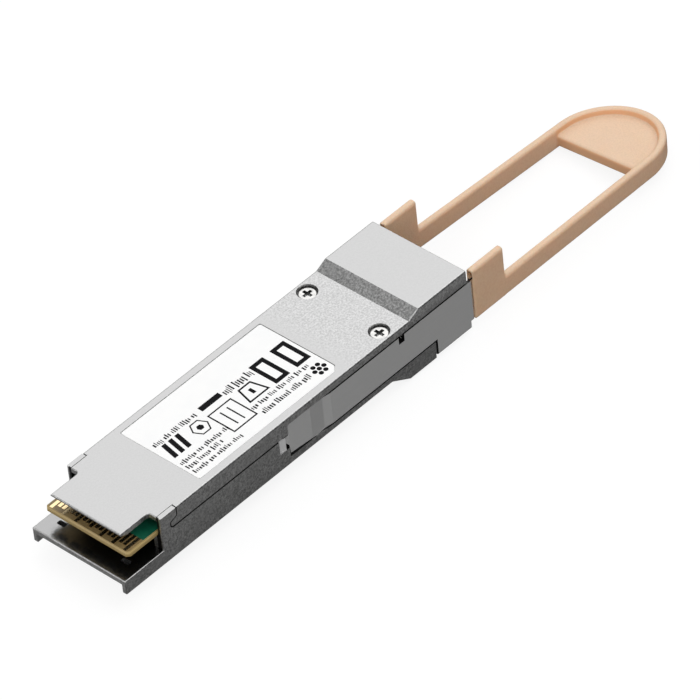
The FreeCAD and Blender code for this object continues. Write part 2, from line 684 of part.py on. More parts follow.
def guide_pins():
    """Two pins with tapered tips and a shallow relief groove just inside the ferrule's face."""
    middle = (PIN_GROOVE_FRONT + PIN_GROOVE_REAR) / 2
    profile = (
        (54.9, 0), (54.9, PIN_R), (PIN_GROOVE_FRONT, PIN_R), (middle, PIN_GROOVE_R), (PIN_GROOVE_REAR, PIN_R),
        (PIN_TIP - PIN_TAPER, PIN_R), (PIN_TIP, PIN_R * 0.5), (PIN_TIP, 0),
    )
    points = [Vector(x, 0, radius) for x, radius in profile]
    half_section = Part.Face(Part.makePolygon(points + points[:1]))
    pin = half_section.revolve(Vector(0, 0, 0), Vector(1, 0, 0), 360)
    return Part.makeCompound([pin.translated(Vector(0, y, AXIS_Z)) for y in (-PIN_Y, PIN_Y)])


def pin_clamp():
    clamp = slab(54.9, FERRULE_BACK, 3.4, AXIS_Z - 1.2, AXIS_Z + 1.2)
    ribbon_slot = slab(54, FERRULE_BACK + 1, 1.7, AXIS_Z - 0.3, AXIS_Z + 2)
    bores = [rod_x(54, FERRULE_BACK + 1, y, AXIS_Z, PIN_R + 0.01) for y in (-PIN_Y, PIN_Y)]
    return clamp.cut([ribbon_slot] + bores)


def ferrule_bracket():
    """Spring plate behind the pin clamp, with a foot on the floor and a slot for the ribbon."""
    plate = slab(54.4, 54.9, 5.3, FLOOR_TOP, AXIS_Z + 1.2)
    foot = slab(51.9, 54.9, 5.3, FLOOR_TOP, FLOOR_TOP + 0.5)
    slot = slab(54, 56, 1.8, AXIS_Z - 0.5, AXIS_Z + 2)
    return plate.fuse(foot).cut(slot).removeSplitter()


def shield_plate():
    return frame_slab(
        CAVITY_FRONT, CAVITY_FRONT + 0.3, PORT_HALF, PORT_BOTTOM, PORT_LOW_TOP,
        FERRULE_HALF + 0.1, AXIS_Z - FERRULE_HALF_Z - 0.1, AXIS_Z + FERRULE_HALF_Z + 0.1,
    )


def nose_gasket():
    return frame_slab(CAVITY_FRONT + 0.3, PORT_FRONT, PORT_HALF, PORT_BOTTOM, PORT_LOW_TOP, 5.8, 0.6, 6.6)


def port_hook():
    """One springy latch arm inside the port, with a sloped catch facing the ferrule."""
    plan = (
        (PORT_WALL_REAR - 0.5, 4.7), (68.2, 4.7), (68.6, 4.15), (69.1, 4.15), (70.0, 4.8), (70.0, 5.5),
        (PORT_WALL_REAR - 0.5, 5.5),
    )
    return plan_prism(plan, AXIS_Z - 1.4, AXIS_Z + 1.4)


def mpo_receptacle():
    body = slab(PORT_FRONT, PORT_REAR, PORT_HALF, PORT_BOTTOM, PORT_LOW_TOP)
    body = body.fuse(slab(PORT_STEP + 0.05, PORT_REAR, PORT_HALF, PORT_BOTTOM, PORT_TOP)).removeSplitter()
    bore = slab(PORT_WALL_REAR, PORT_REAR + 1, PORT_BORE_HALF, AXIS_Z - PORT_BORE_HALF_Z, PORT_LOW_TOP - 0.6)
    floor, ceiling = AXIS_Z - PORT_BORE_HALF_Z, AXIS_Z + PORT_BORE_HALF_Z
    tall = slab(PORT_STEP + 0.6, PORT_REAR + 1, PORT_BORE_HALF, floor, ceiling)
    bore = bore.fuse(tall).removeSplitter()
    keyway = slab(PORT_STEP + 1, PORT_REAR + 1, 1.35, AXIS_Z, AXIS_Z + PORT_BORE_HALF_Z + 0.3)
    window = slab(
        PORT_FRONT - 1, PORT_WALL_REAR + 1, FERRULE_HALF + 0.05,
        AXIS_Z - FERRULE_HALF_Z - 0.05, AXIS_Z + FERRULE_HALF_Z + 0.05,
    )
    hook = port_hook()
    body = body.cut([bore, keyway, window]).fuse([hook, mirrored(hook)]).removeSplitter()
    return round_edges(body, 0.3, port_mouth_edge)


def port_mouth_edge(edge):
    """The inner rim of the mouth, clear of the keyway."""
    middle = edge.CenterOfMass
    inside = abs(middle.y) < PORT_BORE_HALF + 0.01 and PORT_BOTTOM + 0.2 < middle.z < PORT_TOP - 0.3
    return abs(middle.x - PORT_REAR) < 0.01 and inside and not edge.BoundBox.YLength < 1.5


def build_all():
    spring = return_spring()
    gasket = seam_gasket()
    return {
        "bottom_housing": bottom_housing(),
        "top_cover": top_cover(),
        "product_label": product_label(),
        "cover_screws": cover_screws(),
        "release_slider": release_slider(),
        "pull_tab": pull_tab(),
        "return_spring_left": spring,
        "return_spring_right": mirrored(spring),
        "main_board": main_board(),
        "edge_contacts_top": edge_contacts(BOARD_TOP),
        "edge_contacts_bottom": edge_contacts(BOARD_BOTTOM - PAD_THICK),
        "transmit_retimer": chip(20.75, -3.2, 5.5, 5.5, 0.85),
        "receive_retimer": chip(20.75, 3.2, 5.5, 5.5, 0.85),
        "microcontroller": chip(28.4, 0, 4.0, 4.0, 0.85, False),
        "memory_chip": chip(15.6, 0, 2.0, 3.0, 0.6, False),
        "power_regulator": chip(29.4, 0, 3.0, 3.0, 0.75),
        "power_inductors": power_inductors(),
        "decoupling_capacitors": decoupling_capacitors(),
        "board_resistors": board_resistors(),
        "engine_carrier": engine_carrier(),
        "laser_driver": die(33.6, 35.8, -3.2, -0.4, 0.25),
        "receiver_amplifier": die(33.6, 35.8, 0.4, 3.2, 0.25),
        "vcsel_array": die(36.8, 37.2, -2.4, -1.4, 0.15),
        "photodiode_array": die(36.8, 37.2, 1.4, 2.4, 0.15),
        "lens_block": lens_block(),
        "fibre_ribbon": fibre_ribbon(),
        "mt_ferrule": mt_ferrule(),
        "guide_pins": guide_pins(),
        "pin_clamp": pin_clamp(),
        "ferrule_bracket": ferrule_bracket(),
        "mpo_receptacle": mpo_receptacle(),
        "shield_plate": shield_plate(),
        "nose_gasket": nose_gasket(),
        "seam_gasket_left": gasket,
        "seam_gasket_right": mirrored(gasket),
        "chip_thermal_pad": slab(18, 23.5, 5.95, BOARD_TOP + 0.85, 7.2),
        "floor_thermal_pad": slab(18.2, 23.8, 4.8, PEDESTAL_TOP, BOARD_BOTTOM),
        "engine_thermal_pad": slab(33.2, 40.8, 4.3, PEDESTAL_TOP, BOARD_BOTTOM),
    }


os.makedirs("parts", exist_ok=True)
for name, shape in build_all().items():
    solids = shape.Solids
    print(f"{name:24s} solids {len(solids):2d} volume {shape.Volume:9.2f} valid {shape.isValid()}")
    place(shape).exportStep(f"parts/{name}.step")
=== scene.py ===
import math
import random

import bmesh
import bpy
from mathutils import Matrix, Vector


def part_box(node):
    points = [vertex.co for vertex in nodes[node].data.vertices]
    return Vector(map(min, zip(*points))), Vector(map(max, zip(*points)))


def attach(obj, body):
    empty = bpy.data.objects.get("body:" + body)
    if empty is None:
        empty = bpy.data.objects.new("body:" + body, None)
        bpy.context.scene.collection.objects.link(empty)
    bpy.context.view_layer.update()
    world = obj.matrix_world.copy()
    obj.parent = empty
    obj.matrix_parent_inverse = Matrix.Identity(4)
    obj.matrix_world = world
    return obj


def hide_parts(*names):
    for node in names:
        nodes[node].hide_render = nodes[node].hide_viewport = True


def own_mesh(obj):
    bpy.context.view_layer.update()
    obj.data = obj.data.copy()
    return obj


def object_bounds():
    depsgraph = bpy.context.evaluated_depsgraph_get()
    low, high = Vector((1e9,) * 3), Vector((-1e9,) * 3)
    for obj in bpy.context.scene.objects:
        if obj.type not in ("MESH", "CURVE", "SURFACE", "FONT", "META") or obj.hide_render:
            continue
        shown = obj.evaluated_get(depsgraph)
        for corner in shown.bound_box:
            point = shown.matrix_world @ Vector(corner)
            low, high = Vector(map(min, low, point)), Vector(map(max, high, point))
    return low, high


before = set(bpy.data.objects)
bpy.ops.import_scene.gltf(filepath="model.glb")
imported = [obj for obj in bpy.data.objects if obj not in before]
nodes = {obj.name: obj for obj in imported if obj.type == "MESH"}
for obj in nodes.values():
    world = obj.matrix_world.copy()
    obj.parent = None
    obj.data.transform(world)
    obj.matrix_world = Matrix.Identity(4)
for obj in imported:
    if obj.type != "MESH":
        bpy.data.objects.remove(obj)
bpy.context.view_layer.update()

MM = 0.001
MODULE = "module"
RELEASE = "release"

# ---- places on the castings: back from their front edge, or out from the middle plane
MOUTH_FRONT = 8.1 * MM
MOUTH_END = 9.5 * MM
MOUTH_WALL = 8.45 * MM
FLANK_SKIN = 9.165 * MM
LATCH_DEPTH = 0.9 * MM
SEAM_FRONT = 10.3 * MM
SEAM_REAR = 32 * MM
SEAM_INSIDE = 9 * MM
LATCH_MIDDLE = 32.7 * MM
CHIN_INSIDE = 8 * MM
JAMB_OUTSIDE = 8.8 * MM
# forward from their rear end
CHIN_LENGTH = 7.55 * MM
REAR_LIP = 0.3 * MM
# up from the card's underside
HOLLOW_FLOOR = -2.22 * MM
HOLLOW_TOP = 3.4 * MM
SEAM_LEVEL = 0.77 * MM
# half widths
SEAM_HALF = 0.14 * MM
LATCH_HALF = 0.72 * MM
# ---- the cover screws and the tab
HEAD_RADIUS = 1.45 * MM
COUNTERBORE_REACH = 1.75 * MM
WEB_AHEAD = 2.2 * MM
EAR_LENGTH = 6.4 * MM
DROOP_REACH = 29 * MM
DROOP = 0.764 * MM
DROOP_TWIST = 0.081
TAB_GRAIN = 0.17 * MM


# ---------------------------------------------------------------- node materials

class Shade:
    """A node material with one Principled shader, built from small procedural steps."""

    def __init__(self, name, **constants):
        self.material = bpy.data.materials.new(name)
        self.material.use_nodes = True
        self.tree = self.material.node_tree
        self.tree.nodes.clear()
        output = self.add("ShaderNodeOutputMaterial")
        self.shader = self.add("ShaderNodeBsdfPrincipled")
        self.tree.links.new(self.shader.outputs[0], output.inputs["Surface"])
        self.place = self.add("ShaderNodeTexCoord").outputs["Object"]
        self.split = self.add("ShaderNodeSeparateXYZ", Vector=self.place)
        normal = self.add("ShaderNodeNewGeometry").outputs["Normal"]
        self.facing = self.add("ShaderNodeSeparateXYZ", Vector=normal)
        for socket, value in constants.items():
            self.set(socket.replace("_", " "), value)

    def add(self, kind, settings=None, **inputs):
        node = self.tree.nodes.new(kind)
        for key, value in (settings or {}).items():
            setattr(node, key, value)
        for key, value in inputs.items():
            self.feed(node.inputs[key.replace("_", " ")], value)
        return node

    def feed(self, socket, value):
        if isinstance(value, bpy.types.NodeSocket):
            self.tree.links.new(value, socket)
        elif socket.type == "RGBA" and len(value) == 3:
            socket.default_value = (*value, 1)
        else:
            socket.default_value = value

    def set(self, socket, value):
        self.feed(self.shader.inputs[socket], value)

    def axis(self, letter):
        return self.split.outputs[letter]

    def noise(self, size, detail=3.0, roughness=0.55, stretch=None):
        """Noise whose features are about size metres across."""
        place = self.place
        if stretch:
            place = self.add("ShaderNodeMapping", Vector=place, Scale=stretch).outputs[0]
        node = self.add(
            "ShaderNodeTexNoise", Vector=place, Scale=1 / size, Detail=detail, Roughness=roughness
        )
        return node.outputs["Fac"]

    def maths(self, operation, a, b=0.0, c=0.0):
        node = self.add("ShaderNodeMath", {"operation": operation})
        for socket, value in zip(node.inputs, (a, b, c)):
            self.feed(socket, value)
        return node.outputs[0]

    def remap(self, value, from_low, from_high, to_low=0.0, to_high=1.0):
        node = self.add("ShaderNodeMapRange", Value=value)
        for index, number in enumerate((from_low, from_high, to_low, to_high), 1):
            node.inputs[index].default_value = number
        return node.outputs[0]

    def mix(self, share, a, b, blend="MIX"):
        node = self.add("ShaderNodeMix", {"data_type": "RGBA", "blend_type": blend})
        for socket, value in ((node.inputs[0], share), (node.inputs[6], a), (node.inputs[7], b)):
            self.feed(socket, value)
        return node.outputs[2]

    def bump(self, height, depth):
        """Relief of depth metres, laid over any bump that is already there."""
        node = self.add("ShaderNodeBump", Height=height, Distance=depth)
        normal = self.shader.inputs["Normal"]
        if normal.is_linked:
            self.feed(node.inputs["Normal"], normal.links[0].from_socket)
        self.set("Normal", node.outputs[0])


def grey(level):
    return (level, level, level)


# near black, painted as shade in seams, hollows and on downward faces
PAINTED_SHADE = grey(0.025)


def scaled(color, factor):
    return tuple(channel * factor for channel in color)


def cast_metal(name, tint, roughness, contrast, relief):
    """Nickel plate on a grainy zinc casting. Contrast is how far the grain swings round the tint."""
    s = Shade(name, Metallic=1.0)
    grain = s.noise(0.3 * MM, 4, 0.7)
    broad = s.noise(4 * MM, 2)
    s.speck = s.remap(grain, 0.38, 0.62)
    s.tint = s.mix(s.speck, scaled(tint, 1 - contrast), scaled(tint, 1 + contrast))
    s.tint = s.mix(s.remap(broad, 0.35, 0.7, 0, 0.5), s.tint, scaled(tint, 0.93))
    s.set("Base Color", s.tint)
    s.set("Roughness", s.remap(grain, 0.3, 0.7, roughness - 0.07, roughness + 0.07))
    s.bump(grain, relief)
    s.bump(s.noise(0.9 * MM, 2), relief * 1.2)
    return s


def paint(node_names, shade):
    for name in node_names.split():
        mesh = nodes[name].data
        mesh.materials.clear()
        mesh.materials.append(shade.material)


def scaled_by(shade, factor):
    """The shade's tint, darkened by a factor."""
    return shade.mix(1.0, shade.tint, grey(factor), "MULTIPLY")


def blend(shade, share, a, b):
    """A number between a and b."""
    return shade.maths("MULTIPLY_ADD", share, shade.maths("SUBTRACT", b, a), a)


def product(s, *shares):
    """The shares multiplied together."""
    total = shares[0]
    for share in shares[1:]:
        total = s.maths("MULTIPLY", total, share)
    return total


def distance(s, along, across):
    square = s.maths("ADD", s.maths("POWER", along, 2.0), s.maths("POWER", across, 2.0))
    return s.maths("SQRT", square)


def between(s, value, low, high):
    """One where a value lies between two limits, and nought elsewhere."""
    above = s.maths("GREATER_THAN", value, low)
    return s.maths("MULTIPLY", above, s.maths("LESS_THAN", value, high))


def round_screws(s, radius):
    """One inside a radius round either cover screw's axis."""
    low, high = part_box("cover_screws")
    along = s.maths("SUBTRACT", s.axis("X"), (low.x + high.x) / 2)
    across = s.maths("SUBTRACT", s.maths("ABSOLUTE", s.axis("Y")), high.y - HEAD_RADIUS)
    return s.maths("LESS_THAN", distance(s, along, across), radius)


def darken_crevices(s):
    """Shade in the seams between the shells, in the slider's recess and in the card's hollow."""
    low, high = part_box("bottom_housing")
    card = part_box("main_board")[0]
    x, z = s.axis("X"), s.axis("Z")
    side = s.maths("ABSOLUTE", s.axis("Y"))
    rear, ceiling = high.x - REAR_LIP, card.z + HOLLOW_TOP
    limit = s.remap(x, low.x + MOUTH_END - 0.2 * MM, low.x + MOUTH_END, MOUTH_WALL, FLANK_SKIN)
    pocket = s.maths("COMPARE", x, low.x + LATCH_MIDDLE, LATCH_HALF)
    limit = s.maths("MULTIPLY_ADD", pocket, -LATCH_DEPTH, limit)
    clear = s.maths("SUBTRACT", 1.0, round_screws(s, COUNTERBORE_REACH))
    inside = product(
        s, s.maths("LESS_THAN", side, limit), between(s, x, low.x + MOUTH_FRONT, rear),
        between(s, z, card.z + HOLLOW_FLOOR, ceiling), clear,
    )
    chin_gap = product(
        s, between(s, x, high.x - CHIN_LENGTH, rear), between(s, side, CHIN_INSIDE, FLANK_SKIN),
        s.maths("LESS_THAN", z, ceiling),
    )
    seam = product(
        s, s.maths("COMPARE", z, card.z + SEAM_LEVEL, SEAM_HALF),
        between(s, x, low.x + SEAM_FRONT, low.x + SEAM_REAR),
        s.maths("GREATER_THAN", side, SEAM_INSIDE),
    )
    dark = s.maths("MAXIMUM", s.maths("MAXIMUM", inside, chin_gap), seam)
    # painted shade: the masked seams, recess, hollow and chin gap turn near black
    s.tint = s.mix(dark, s.tint, PAINTED_SHADE)


def flat_top_tint(s):
    """Upward faces are blasted finer than the flanks, all but a band round the cover screws."""
    fine = s.mix(s.speck, grey(0.495), grey(0.545))
    coarse = s.mix(s.speck, grey(0.41), grey(0.63))
    label_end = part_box("product_label")[1].x
    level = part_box("product_label")[1].z
    band = s.maths(
        "MULTIPLY", s.remap(s.axis("X"), label_end, label_end + 4 * MM),
        s.remap(s.axis("Z"), level + 0.6 * MM, level + 0.4 * MM),
    )
    even = s.mix(band, fine, coarse)
    flat = s.remap(s.facing.outputs["Z"], 0.93, 0.99)
    s.tint = s.mix(flat, s.tint, even)


def shell_metal():
    """The lower casting: painted shade darker towards the bench, near black inside, in the slot
    floors and across the mouth's side walls; smooth on the front plate, whose top is darkened as
    painted shade; a painted highlight on the pocket ramp.
    """
    s = cast_metal("zinc_nickel_shell_looks", (0.61, 0.61, 0.605), 0.36, 0.42, 0.012 * MM)
    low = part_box("bottom_housing")[0]
    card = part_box("main_board")[0]
    x, z = s.axis("X"), s.axis("Z")
    foot = low.z + 2 * MM
    # painted shade: the flanks darker towards the bench
    s.tint = s.mix(s.remap(z, foot, foot + 7 * MM), scaled_by(s, 0.72), s.tint)
    flat_top_tint(s)
    darken_crevices(s)
    up = s.remap(s.facing.outputs["Z"], 0.95, 0.99)
    # upward faces below the card: smoother, and their tint darkened as painted shade under the card
    plate = s.maths("MULTIPLY", up, s.remap(z, card.z - 0.9 * MM, card.z - 1.2 * MM))
    s.tint = s.mix(plate, s.tint, grey(0.36))
    # painted shade: the slot floors at the front turned near black
    slot_floor_shade = product(
        s, up, s.maths("LESS_THAN", x, low.x + 6 * MM), s.maths("LESS_THAN", z, card.z - 2.32 * MM)
    )
    s.tint = s.mix(slot_floor_shade, s.tint, grey(0.02))
    side = s.maths("ABSOLUTE", s.axis("Y"))
    # painted shade: a near-black strip across the mouth's side walls
    mouth_wall_shade = s.maths("COMPARE", x, low.x + 8 * MM, 0.15 * MM)
    mouth_wall_shade = s.maths("MULTIPLY", mouth_wall_shade, between(s, side, CHIN_INSIDE, JAMB_OUTSIDE))
    s.tint = s.mix(mouth_wall_shade, s.tint, grey(0.04))
    # painted highlight: the forward-facing pocket ramp turned near white and less metallic
    ramp_highlight = product(
        s, s.maths("COMPARE", x, low.x + 32.75 * MM, 0.75 * MM),
        between(s, side, JAMB_OUTSIDE, FLANK_SKIN), s.remap(s.facing.outputs["X"], -0.08, -0.16),
    )
    s.tint = s.mix(ramp_highlight, s.tint, grey(0.93))
    s.set("Metallic", s.maths("MULTIPLY_ADD", ramp_highlight, -0.55, 1.0))
    s.set("Base Color", s.tint)
    rough = s.remap(s.speck, 0, 1, 0.29, 0.43)
    smooth = s.remap(s.speck, 0, 1, 0.17, 0.22)
    s.set("Roughness", blend(s, plate, rough, smooth))
    return s


def cover_metal():
    """The lid: fine grain on top, coarser on flanks and ramp; painted shade on its lower part, its
    forward-leaning faces, its underside and inside; a painted dark reflection on small rounded rims.
    """
    s = cast_metal("zinc_nickel_cover_looks", (0.78, 0.78, 0.775), 0.36, 0.38, 0.008 * MM)
    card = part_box("main_board")[0]
    # painted shade: the lid darker below its top part
    upper = s.remap(s.axis("Z"), card.z + 2.9 * MM, card.z + 4 * MM)
    s.tint = s.mix(upper, scaled_by(s, 0.74), s.tint)
    # painted shade: faces leaning forward, such as the ramp, darker
    forward_shade = s.remap(s.facing.outputs["X"], -0.25, -0.38)
    s.tint = s.mix(forward_shade, s.tint, scaled_by(s, 0.68))
    flat_top_tint(s)
    # painted dark reflection: rounded rims half-turned sideways, made darker
    sideways = s.maths("ABSOLUTE", s.facing.outputs["Y"])
    rim = s.maths("MULTIPLY", s.remap(sideways, 0.3, 0.5), s.remap(sideways, 0.98, 0.92))
    s.tint = s.mix(rim, s.tint, s.mix(s.speck, grey(0.2), grey(0.5)))
    # painted shade: downward faces near black
    under = s.remap(s.facing.outputs["Z"], -0.3, -0.6)
    s.tint = s.mix(under, s.tint, PAINTED_SHADE)
    darken_crevices(s)
    s.set("Base Color", s.tint)
    return s


paint("bottom_housing", shell_metal())
paint("top_cover", cover_metal())


def rolled_steel(name, tint, roughness, streak=0.04, metallic=1.0):
    """Smooth sheet with faint rolling streaks along X."""
    s = Shade(name, Metallic=metallic)
    streaks = s.noise(0.25 * MM, 3, 0.6, (0.03, 1, 1))
    cloud = s.noise(2.5 * MM, 3)
    color = s.mix(s.remap(streaks, 0.3, 0.7), scaled(tint, 1 - streak), scaled(tint, 1 + streak))
    s.tint = s.mix(s.remap(cloud, 0.3, 0.7, 0, 0.4), color, scaled(tint, 0.95))
    s.set("Base Color", s.tint)
    s.set("Roughness", s.remap(streaks, 0.3, 0.7, roughness - streak, roughness + streak))
    s.bump(streaks, 0.0002 * MM)
    s.bump(s.noise(0.12 * MM, 2), 0.0005 * MM)
    return s


def slider_steel():
    """Stamped stainless sheet; its upward- and forward-facing faces are painted near black as shade.
    """
    s = rolled_steel("stainless_sheet_looks", (0.80, 0.80, 0.795), 0.24, 0.012, 0.68)
    # painted shade: upward and forward faces near black
    upper = s.remap(s.facing.outputs["Z"], 0.5, 0.8)
    front = s.remap(s.facing.outputs["X"], -0.8, -0.9)
    s.set("Base Color", s.mix(s.maths("MAXIMUM", upper, front), s.tint, grey(0.03)))
    return s


paint("release_slider", slider_steel())
paint("ferrule_bracket shield_plate", rolled_steel("inner_sheet_looks", (0.6, 0.6, 0.58), 0.3))
paint("guide_pins pin_clamp", rolled_steel("pin_steel_looks", (0.66, 0.66, 0.65), 0.18, 0.06))


def screw_metal():
    """Bright plated heads; the sunk cross recess is painted darker as shade."""
    s = Shade("screw_steel_looks", Metallic=1.0)
    fine = s.noise(0.08 * MM, 3)
    turned = s.noise(0.5 * MM, 2)
    bright = s.mix(s.remap(turned, 0.3, 0.7), (0.74, 0.73, 0.715), (0.55, 0.55, 0.54))
    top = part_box("cover_screws")[1].z
    # painted shade: the sunk cross recess darker
    sunk = s.remap(s.axis("Z"), top - 0.04 * MM, top - 0.2 * MM)
    cross = s.maths("MULTIPLY", round_screws(s, 1.0 * MM), sunk)
    s.set("Base Color", s.mix(cross, bright, grey(0.2)))
    s.set("Roughness", s.remap(fine, 0.3, 0.7, 0.17, 0.3))
    s.bump(fine, 0.0015 * MM)
    return s


paint("cover_screws", screw_metal())


def film_white():
    s = Shade("label_film_looks", Specular_IOR_Level=0.15)
    fibre = s.noise(0.08 * MM, 3)
    cloud = s.noise(3 * MM, 2)
    tint = s.mix(s.remap(cloud, 0.35, 0.65), (0.99, 0.99, 0.985), (0.97, 0.972, 0.972))
    s.set("Base Color", tint)
    s.set("Roughness", s.remap(fibre, 0.3, 0.7, 0.42, 0.55))
    s.bump(fibre, 0.0008 * MM)
    s.bump(cloud, 0.004 * MM)
    return s


def print_ink():
    s = Shade("label_ink_looks", Specular_IOR_Level=0.05)
    wear = s.noise(0.1 * MM, 3)
    tint = s.mix(s.remap(wear, 0.45, 0.75), (0.005, 0.005, 0.006), (0.014, 0.014, 0.015))
    s.set("Base Color", tint)
    s.set("Roughness", s.remap(wear, 0.3, 0.7, 0.5, 0.65))
    s.bump(wear, 0.0008 * MM)
    return s


paint("product_label", film_white())


# ---------------------------------------------------------------- pull tab material

def inside_grip(s):
    """1 on the walls that face into the grip, where shade is painted: the web's front edge and the
    rim over the web.
    """
    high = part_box("pull_tab")[1]
    centre = high.x - high.y
    along = s.maths("SUBTRACT", s.axis("X"), centre)
    radius = distance(s, along, s.axis("Y"))
    inner = s.remap(radius, high.y - 0.7 * MM, high.y - 1.1 * MM)
    behind = s.remap(s.axis("X"), centre - 2.6 * MM, centre - WEB_AHEAD)
    steep = s.remap(s.maths("ABSOLUTE", s.facing.outputs["Z"]), 0.75, 0.45)
    return product(s, inner, behind, steep)


def elastomer():
    """Soft moulded thermoplastic rubber, eggshell finish."""
    s = Shade(
        "beige_elastomer_looks", Subsurface_Weight=0.25, Subsurface_Scale=0.9 * MM,
        Specular_IOR_Level=0.3,
    )
    s.set("Subsurface Radius", (1.0, 0.55, 0.32))
    peel = s.noise(0.3 * MM, 4, 0.65)
    cloud = s.noise(5 * MM, 3)
    # painted shade: steep sides get a warmer, more saturated tint than flat tops
    level = s.remap(s.maths("ABSOLUTE", s.facing.outputs["Z"]), 0.3, 0.8)
    tint = s.mix(level, (0.87, 0.55, 0.35), (0.81, 0.59, 0.42))
    tint = s.mix(s.remap(cloud, 0.35, 0.65, 0, 0.3), tint, (0.76, 0.53, 0.36))
    tint = s.mix(s.remap(peel, 0.42, 0.6, 0, 0.35), tint, (0.90, 0.65, 0.46))
    tint = s.mix(s.remap(peel, 0.5, 0.36, 0, 0.12), tint, (0.62, 0.40, 0.25))
    # painted shade: walls facing into the grip darker and warmer
    s.set("Base Color", s.mix(inside_grip(s), tint, (0.80, 0.46, 0.26)))
    s.set("Roughness", s.remap(peel, 0.3, 0.7, 0.5, 0.62))
    s.bump(peel, 0.03 * MM)
    s.bump(s.noise(1.6 * MM, 2), 0.01 * MM)
    return s


# ---------------------------------------------------------------- card and its parts

def laminate():
    """Glass-fibre card: bare at the contacts, green mask behind them, layers on its cut edges; its
    underside is painted near black as shade.
    """
    s = Shade("board_laminate_looks", Specular_IOR_Level=0.5)
    pads_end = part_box("edge_contacts_top")[1].x
    weave = s.noise(0.3 * MM, 2)
    layers = s.maths("SINE", s.maths("MULTIPLY", s.axis("Z"), 2 * math.pi / (0.16 * MM)))
    fibre = s.remap(layers, -1, 1)
    bare = s.mix(s.remap(weave, 0.3, 0.7), (0.21, 0.145, 0.06), (0.30, 0.21, 0.09))
    cut = s.mix(fibre, (0.54, 0.40, 0.165), (0.36, 0.25, 0.09))
    cloud = s.remap(s.noise(1.2 * MM, 3), 0.35, 0.65)
    green = s.mix(cloud, (0.004, 0.10, 0.055), (0.008, 0.145, 0.08))
    masked = s.remap(s.axis("X"), pads_end, pads_end + 0.05 * MM)
    flat = s.remap(s.maths("ABSOLUTE", s.facing.outputs["Z"]), 0.93, 0.97)
    top = s.mix(masked, bare, green)
    # painted shade: downward faces near black
    under = s.remap(s.facing.outputs["Z"], -0.2, -0.5)
    s.set("Base Color", s.mix(under, s.mix(flat, cut, top), (0.012, 0.014, 0.01)))
    s.set("Roughness", s.remap(weave, 0.3, 0.7, 0.32, 0.5))
    s.bump(weave, 0.004 * MM)
    s.bump(masked, 0.02 * MM)
    return s


def simple(name, low_tint, high_tint, size, roughness, relief, **constants):
    """A moulded or cast material whose colour, gloss and relief follow one grain."""
    s = Shade(name, **constants)
    grain = s.noise(size, 4, 0.6)
    cloud = s.noise(size * 9, 2)
    color = s.mix(s.remap(grain, 0.3, 0.7), low_tint, high_tint)
    s.set("Base Color", s.mix(s.remap(cloud, 0.35, 0.65, 0, 0.4), color, low_tint))
    s.set("Roughness", s.remap(grain, 0.3, 0.7, roughness - 0.06, roughness + 0.06))
    s.bump(grain, relief)
    return s


paint("main_board", laminate())
paint("edge_contacts_top", simple(
    "gold_contacts_looks", (0.86, 0.66, 0.36), (0.97, 0.80, 0.50), 0.1 * MM, 0.25, 0.001 * MM,
    Metallic=1.0))
# painted shade: the lower contacts get a darker copy of the gold
paint("edge_contacts_bottom", simple(
    "lower_contacts_shaded_looks", (0.36, 0.26, 0.12), (0.48, 0.36, 0.18), 0.1 * MM, 0.3, 0.001 * MM,
    Metallic=1.0))
paint("transmit_retimer receive_retimer microcontroller memory_chip power_regulator", simple(
    "black_package_looks", grey(0.018), grey(0.035), 0.07 * MM, 0.5, 0.003 * MM))
paint("decoupling_capacitors board_resistors", simple(
    "ceramic_parts_looks", (0.19, 0.12, 0.07), (0.30, 0.21, 0.13), 0.1 * MM, 0.45, 0.003 * MM))
paint("power_inductors", simple(
    "ferrite_looks", grey(0.05), grey(0.09), 0.09 * MM, 0.6, 0.006 * MM))
paint("laser_driver receiver_amplifier vcsel_array photodiode_array", simple(
    "semiconductor_looks", (0.05, 0.05, 0.07), (0.16, 0.14, 0.2), 0.2 * MM, 0.16, 0.0005 * MM,
    Metallic=0.6))
paint("engine_carrier", simple(
    "ceramic_carrier_looks", grey(0.72), grey(0.8), 0.08 * MM, 0.45, 0.002 * MM))
paint("lens_block", simple(
    "clear_polymer_looks", (0.62, 0.45, 0.2), (0.72, 0.55, 0.28), 0.4 * MM, 0.12, 0.0005 * MM,
    Transmission_Weight=0.7, IOR=1.62))
paint("fibre_ribbon", simple(
    "ribbon_jacket_looks", (0.02, 0.36, 0.38), (0.04, 0.46, 0.48), 0.25 * MM, 0.35, 0.003 * MM))
paint("mt_ferrule", simple(
    "ferrule_polymer_looks", grey(0.03), grey(0.05), 0.08 * MM, 0.42, 0.002 * MM))
paint("mpo_receptacle", simple(
    "port_polymer_looks", grey(0.02), grey(0.04), 0.12 * MM, 0.45, 0.004 * MM))
paint("seam_gasket_left seam_gasket_right nose_gasket", simple(
    "shield_foam_looks", grey(0.10), grey(0.2), 0.12 * MM, 0.8, 0.03 * MM))
paint("chip_thermal_pad engine_thermal_pad floor_thermal_pad", simple(
    "thermal_gel_looks", (0.30, 0.36, 0.46), (0.40, 0.46, 0.56), 0.2 * MM, 0.6, 0.01 * MM))


# ---------------------------------------------------------------- mesh helpers

def new_piece(name, mesh, shade, body):
    piece = bpy.data.objects.new(name, mesh)
    bpy.context.scene.collection.objects.link(piece)
    mesh.materials.clear()
    mesh.materials.append(shade.material)
    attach(piece, body)
    return piece


# ---------------------------------------------------------------- return springs

SPRING_WIRE = 0.07 * MM
SPRING_TURNS = 9
TURN_STEPS = 20
WIRE_SIDES = 8


